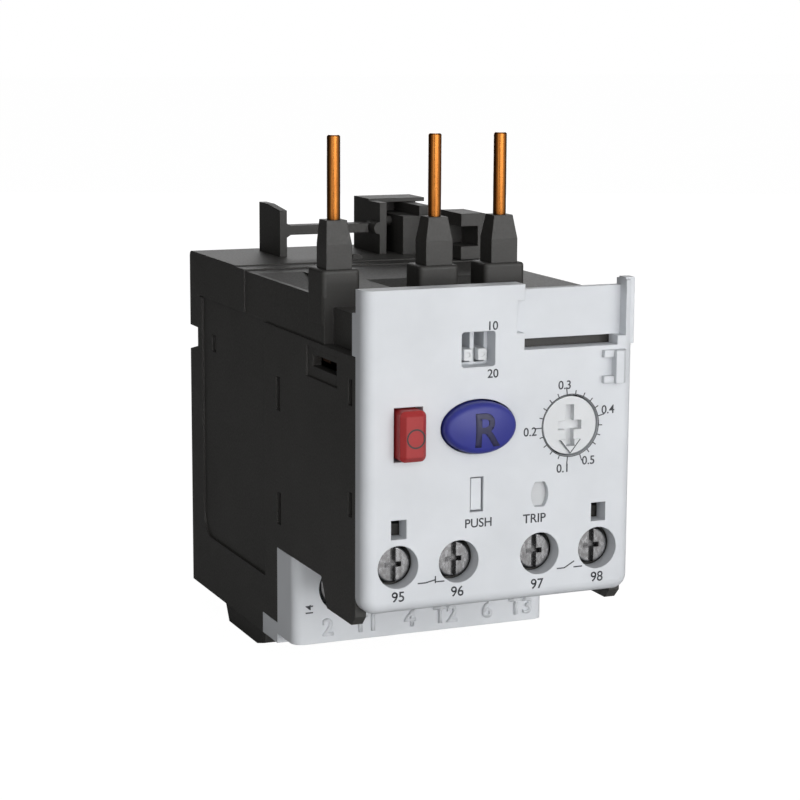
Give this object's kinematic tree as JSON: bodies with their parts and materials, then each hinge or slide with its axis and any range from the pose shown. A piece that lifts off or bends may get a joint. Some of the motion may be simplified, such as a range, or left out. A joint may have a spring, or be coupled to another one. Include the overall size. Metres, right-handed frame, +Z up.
{
  "type": "overload relay",
  "caption": "Plug-on electronic motor overload relay with copper pins, setting dial, reset, stop and test buttons, box clamp terminals and an internal trip relay.",
  "frame": {"origin": "axis of the middle power pin where it leaves its insulating sleeve", "axes": "+X to the right seen from the front, +Y towards the rear, +Z up along the power pins"},
  "size_m": [0.045, 0.0865, 0.0886],
  "materials": {
    "black_plastic": "fine grained moulding",
    "light_grey_plastic": "fine satin moulding",
    "copper": "bright drawn copper",
    "zinc_steel": "zinc plated",
    "brass": "stamped brass",
    "blue_plastic": "satin moulding",
    "red_plastic": "satin moulding",
    "white_plastic": "fine moulding",
    "amber_clear": "translucent",
    "board": "green solder mask",
    "soft_iron": "soft iron",
    "winding": "enamelled copper wire",
    "spring_steel": "spring steel"
  },
  "bodies": {
    "housing": {"base_housing": "black_plastic", "bus_bar_1": "copper", "bus_bar_2": "copper", "bus_bar_3": "copper", "contact_strip_95": "brass", "contact_strip_96": "brass", "contact_strip_97": "brass", "contact_strip_98": "brass", "control_block": "black_plastic", "control_board": "board", "ct_core_1": "soft_iron", "ct_core_2": "soft_iron", "ct_core_3": "soft_iron", "ct_winding_1": "winding", "ct_winding_2": "winding", "ct_winding_3": "winding", "front_cover": "light_grey_plastic", "guide_post": "black_plastic", "latch_frame": "black_plastic", "light_pipe": "amber_clear", "mode_switch": "light_grey_plastic", "pin_sleeves": "black_plastic", "potentiometer": "black_plastic", "power_pin_1": "copper", "power_pin_2": "copper", "power_pin_3": "copper", "relay_coil": "winding", "relay_yoke": "soft_iron", "reset_spring": "spring_steel", "roof_hook": "black_plastic", "sensor_board": "board", "stop_spring": "spring_steel", "terminal_block": "light_grey_plastic", "test_spring": "spring_steel", "upper_housing": "black_plastic"},
    "reset_button": {"reset_button": "blue_plastic"},
    "stop_button": {"stop_button": "red_plastic"},
    "test_button": {"test_button": "light_grey_plastic"},
    "current_dial": {"current_dial": "white_plastic"},
    "mode_lever_1": {"mode_lever_1": "white_plastic"},
    "mode_lever_2": {"mode_lever_2": "white_plastic"},
    "armature": {"armature": "soft_iron"},
    "contact_carriage": {"contact_carriage": "white_plastic", "contact_bridges": "brass"},
    "power_screw_1": {"power_screw_1": "zinc_steel"},
    "power_cage_1": {"power_cage_1": "zinc_steel"},
    "power_screw_2": {"power_screw_2": "zinc_steel"},
    "power_cage_2": {"power_cage_2": "zinc_steel"},
    "power_screw_3": {"power_screw_3": "zinc_steel"},
    "power_cage_3": {"power_cage_3": "zinc_steel"},
    "control_screw_95": {"control_screw_95": "zinc_steel"},
    "control_cage_95": {"control_cage_95": "zinc_steel"},
    "control_screw_96": {"control_screw_96": "zinc_steel"},
    "control_cage_96": {"control_cage_96": "zinc_steel"},
    "control_screw_97": {"control_screw_97": "zinc_steel"},
    "control_cage_97": {"control_cage_97": "zinc_steel"},
    "control_screw_98": {"control_screw_98": "zinc_steel"},
    "control_cage_98": {"control_cage_98": "zinc_steel"}
  },
  "joints": [
    {"name": "reset_press", "type": "slide", "parent": "housing", "child": "reset_button", "axis": [0, 1, 0], "range_m": [0, 0.0024], "stiffness_N_per_m": 400, "springref_m": -0.0002, "deforming": ["reset_spring"]},
    {"name": "stop_press", "type": "slide", "parent": "housing", "child": "stop_button", "axis": [0, 1, 0], "range_m": [0, 0.0024], "stiffness_N_per_m": 400, "springref_m": -0.0002, "deforming": ["stop_spring"]},
    {"name": "test_press", "type": "slide", "parent": "housing", "child": "test_button", "axis": [0, 1, 0], "range_m": [0, 0.002], "stiffness_N_per_m": 400, "springref_m": -0.0002, "deforming": ["test_spring"]},
    {"name": "dial_turn", "type": "hinge", "parent": "housing", "child": "current_dial", "pos_m": [0.01451, -0.01915, -0.0308], "axis": [0, 1, 0], "range_deg": [0, 345]},
    {"name": "mode_1_slide", "type": "slide", "parent": "housing", "child": "mode_lever_1", "axis": [0, 0, 1], "range_m": [0, 0.0017]},
    {"name": "mode_2_slide", "type": "slide", "parent": "housing", "child": "mode_lever_2", "axis": [0, 0, 1], "range_m": [0, 0.0017]},
    {"name": "power_1_screw_turn", "type": "hinge", "parent": "housing", "child": "power_screw_1", "pos_m": [-0.0112, 0.0116, -0.0611], "axis": [0, 1, 0], "range_deg": [0, 1800]},
    {"name": "power_1_cage_slide", "type": "slide", "parent": "housing", "child": "power_cage_1", "axis": [0, -1, 0], "range_m": [0, 0.0035]},
    {"name": "power_2_screw_turn", "type": "hinge", "parent": "housing", "child": "power_screw_2", "pos_m": [0.0029, 0.0116, -0.0611], "axis": [0, 1, 0], "range_deg": [0, 1800]},
    {"name": "power_2_cage_slide", "type": "slide", "parent": "housing", "child": "power_cage_2", "axis": [0, -1, 0], "range_m": [0, 0.0035]},
    {"name": "power_3_screw_turn", "type": "hinge", "parent": "housing", "child": "power_screw_3", "pos_m": [0.017, 0.0116, -0.0611], "axis": [0, 1, 0], "range_deg": [0, 1800]},
    {"name": "power_3_cage_slide", "type": "slide", "parent": "housing", "child": "power_cage_3", "axis": [0, -1, 0], "range_m": [0, 0.0035]},
    {"name": "control_95_screw_turn", "type": "hinge", "parent": "housing", "child": "control_screw_95", "pos_m": [-0.01401, -0.0174, -0.0505], "axis": [0, 1, 0], "range_deg": [0, 1800]},
    {"name": "control_95_cage_slide", "type": "slide", "parent": "housing", "child": "control_cage_95", "axis": [0, -1, 0], "range_m": [0, 0.0025]},
    {"name": "control_96_screw_turn", "type": "hinge", "parent": "housing", "child": "control_screw_96", "pos_m": [-0.00405, -0.0174, -0.0505], "axis": [0, 1, 0], "range_deg": [0, 1800]},
    {"name": "control_96_cage_slide", "type": "slide", "parent": "housing", "child": "control_cage_96", "axis": [0, -1, 0], "range_m": [0, 0.0025]},
    {"name": "control_97_screw_turn", "type": "hinge", "parent": "housing", "child": "control_screw_97", "pos_m": [0.00956, -0.0174, -0.0505], "axis": [0, 1, 0], "range_deg": [0, 1800]},
    {"name": "control_97_cage_slide", "type": "slide", "parent": "housing", "child": "control_cage_97", "axis": [0, -1, 0], "range_m": [0, 0.0025]},
    {"name": "control_98_screw_turn", "type": "hinge", "parent": "housing", "child": "control_screw_98", "pos_m": [0.01955, -0.0174, -0.0505], "axis": [0, 1, 0], "range_deg": [0, 1800]},
    {"name": "control_98_cage_slide", "type": "slide", "parent": "housing", "child": "control_cage_98", "axis": [0, -1, 0], "range_m": [0, 0.0025]},
    {"name": "armature_tilt", "type": "hinge", "parent": "housing", "child": "armature", "pos_m": [0.0029, 0.0136, -0.03965], "axis": [1, 0, 0], "range_deg": [0, 5.5]},
    {"name": "carriage_slide", "type": "slide", "parent": "housing", "child": "contact_carriage", "axis": [0, 0, -1], "range_m": [0, 0.0015], "stiffness_N_per_m": 90, "springref_m": -0.0015}
  ],
  "couplings": [
    {"joint": "power_1_screw_turn", "follows": "power_1_cage_slide", "rad_per_m": 8976},
    {"joint": "power_2_screw_turn", "follows": "power_2_cage_slide", "rad_per_m": 8976},
    {"joint": "power_3_screw_turn", "follows": "power_3_cage_slide", "rad_per_m": 8976},
    {"joint": "control_95_screw_turn", "follows": "control_95_cage_slide", "rad_per_m": 12566},
    {"joint": "control_96_screw_turn", "follows": "control_96_cage_slide", "rad_per_m": 12566},
    {"joint": "control_97_screw_turn", "follows": "control_97_cage_slide", "rad_per_m": 12566},
    {"joint": "control_98_screw_turn", "follows": "control_98_cage_slide", "rad_per_m": 12566},
    {"joint": "armature_tilt", "follows": "carriage_slide", "rad_per_m": 63.99}
  ]
}
